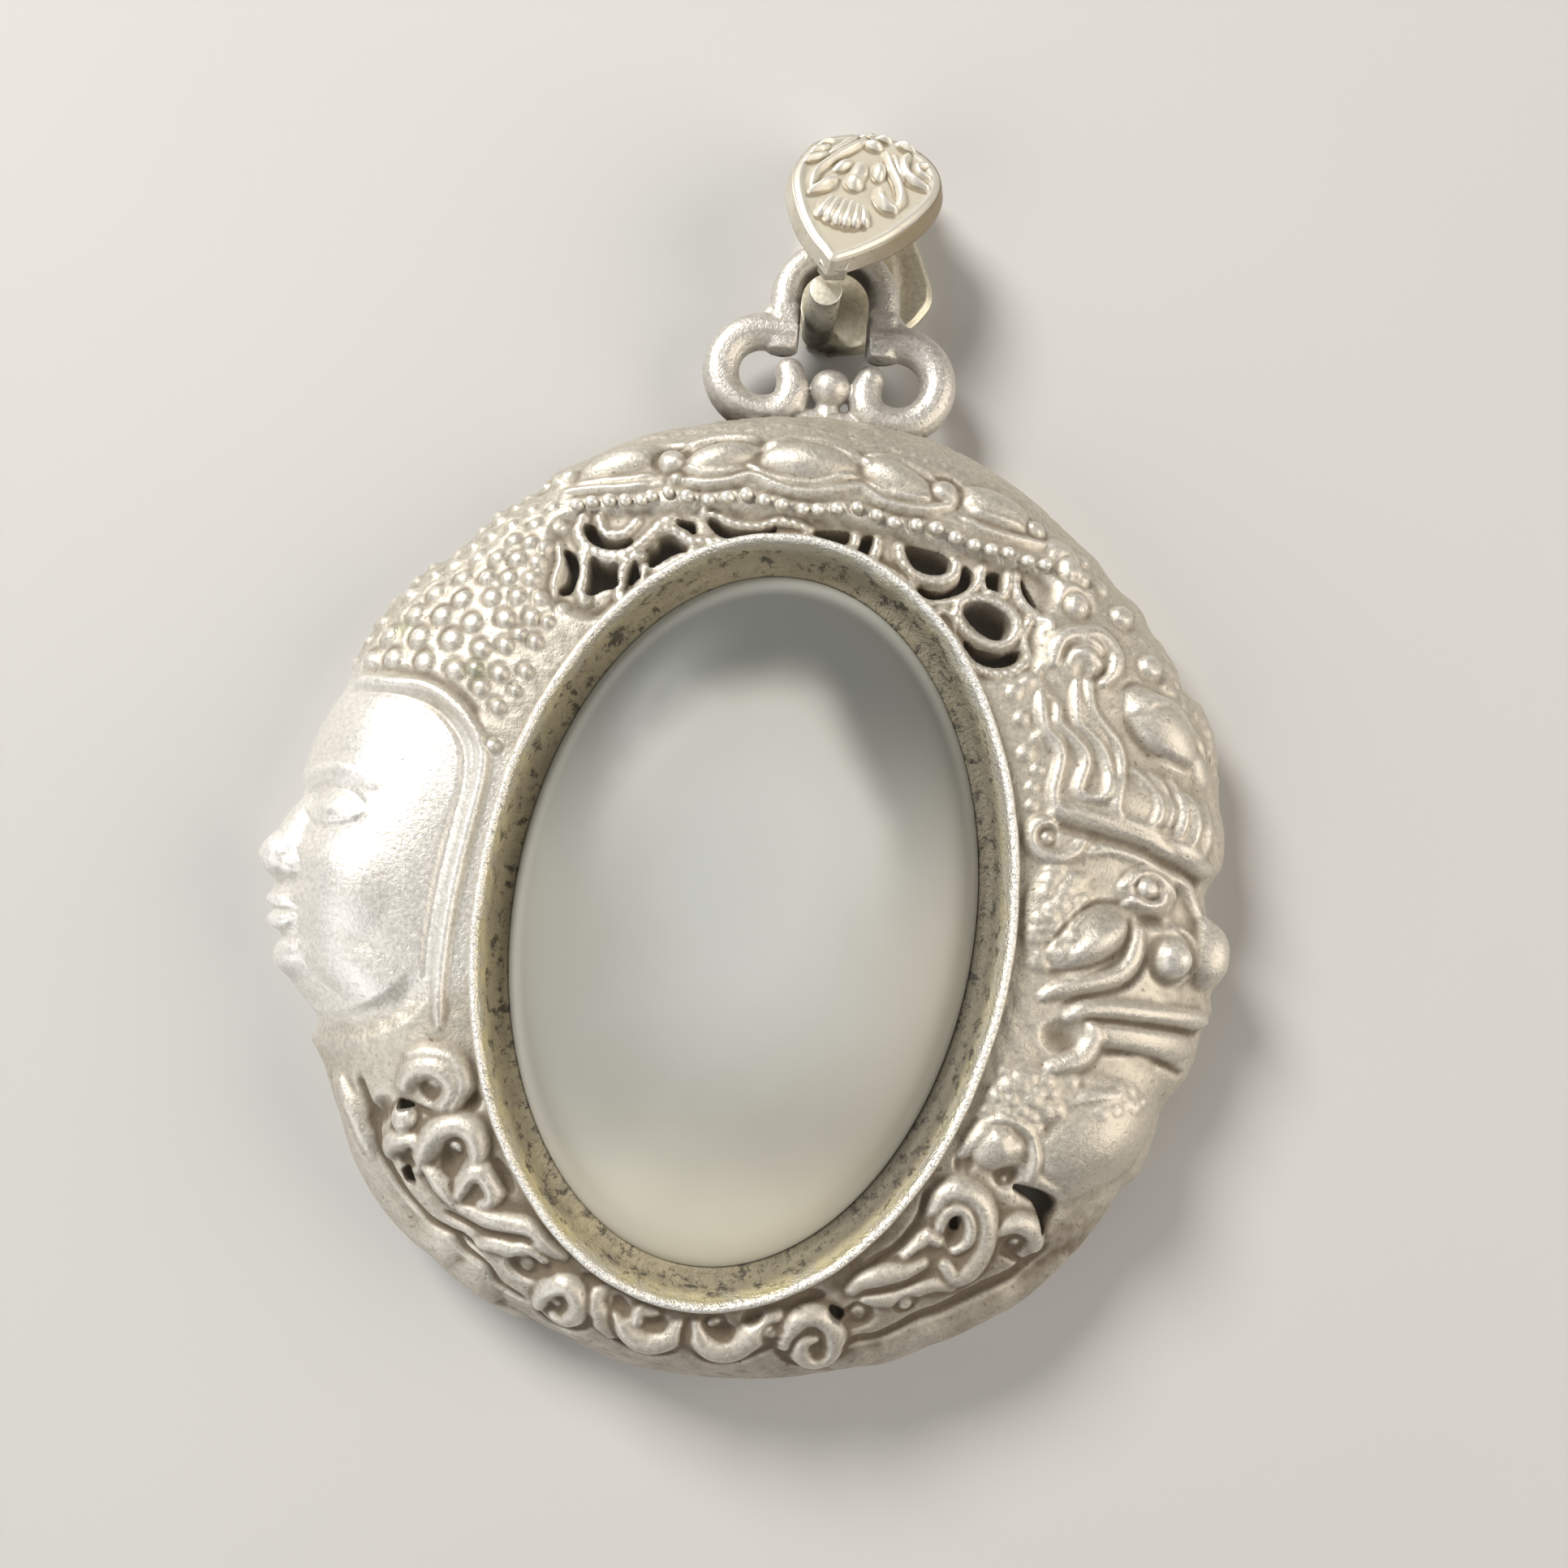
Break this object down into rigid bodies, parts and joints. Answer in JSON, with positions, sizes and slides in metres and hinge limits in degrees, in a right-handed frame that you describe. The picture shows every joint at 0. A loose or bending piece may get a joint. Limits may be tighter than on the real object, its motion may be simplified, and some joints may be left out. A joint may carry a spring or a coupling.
{
  "type": "amulet pendant",
  "caption": "Cast silver amulet pendant: a domed hollow case with a calm head, a guardian mask and a pierced lotus crown round an oval white stone, hung from an openable bail.",
  "frame": {"origin": "on the flat back plate, under the middle of the stone", "axes": "+Z out of the stone's dome, +Y towards the bail, +X to the guardian mask's side"},
  "size_m": [0.0444, 0.058, 0.009],
  "materials": {
    "cast_silver": "satin cast silver with dark crevices",
    "white_stone": "polished, milky and translucent",
    "bail_silver": "smooth satin silver"
  },
  "bodies": {
    "pendant": {"body": "cast_silver", "stone": "white_stone", "bail_back": "bail_silver", "hinge_pin": "bail_silver"},
    "leaf": {"bail_front": "bail_silver"}
  },
  "joints": [
    {"name": "bail_hinge", "type": "hinge", "parent": "pendant", "child": "leaf", "pos_m": [0.00028, 0.03672, 0.0023], "axis": [-0.9816, 0.1908, 0], "range_deg": [0, 60]}
  ]
}
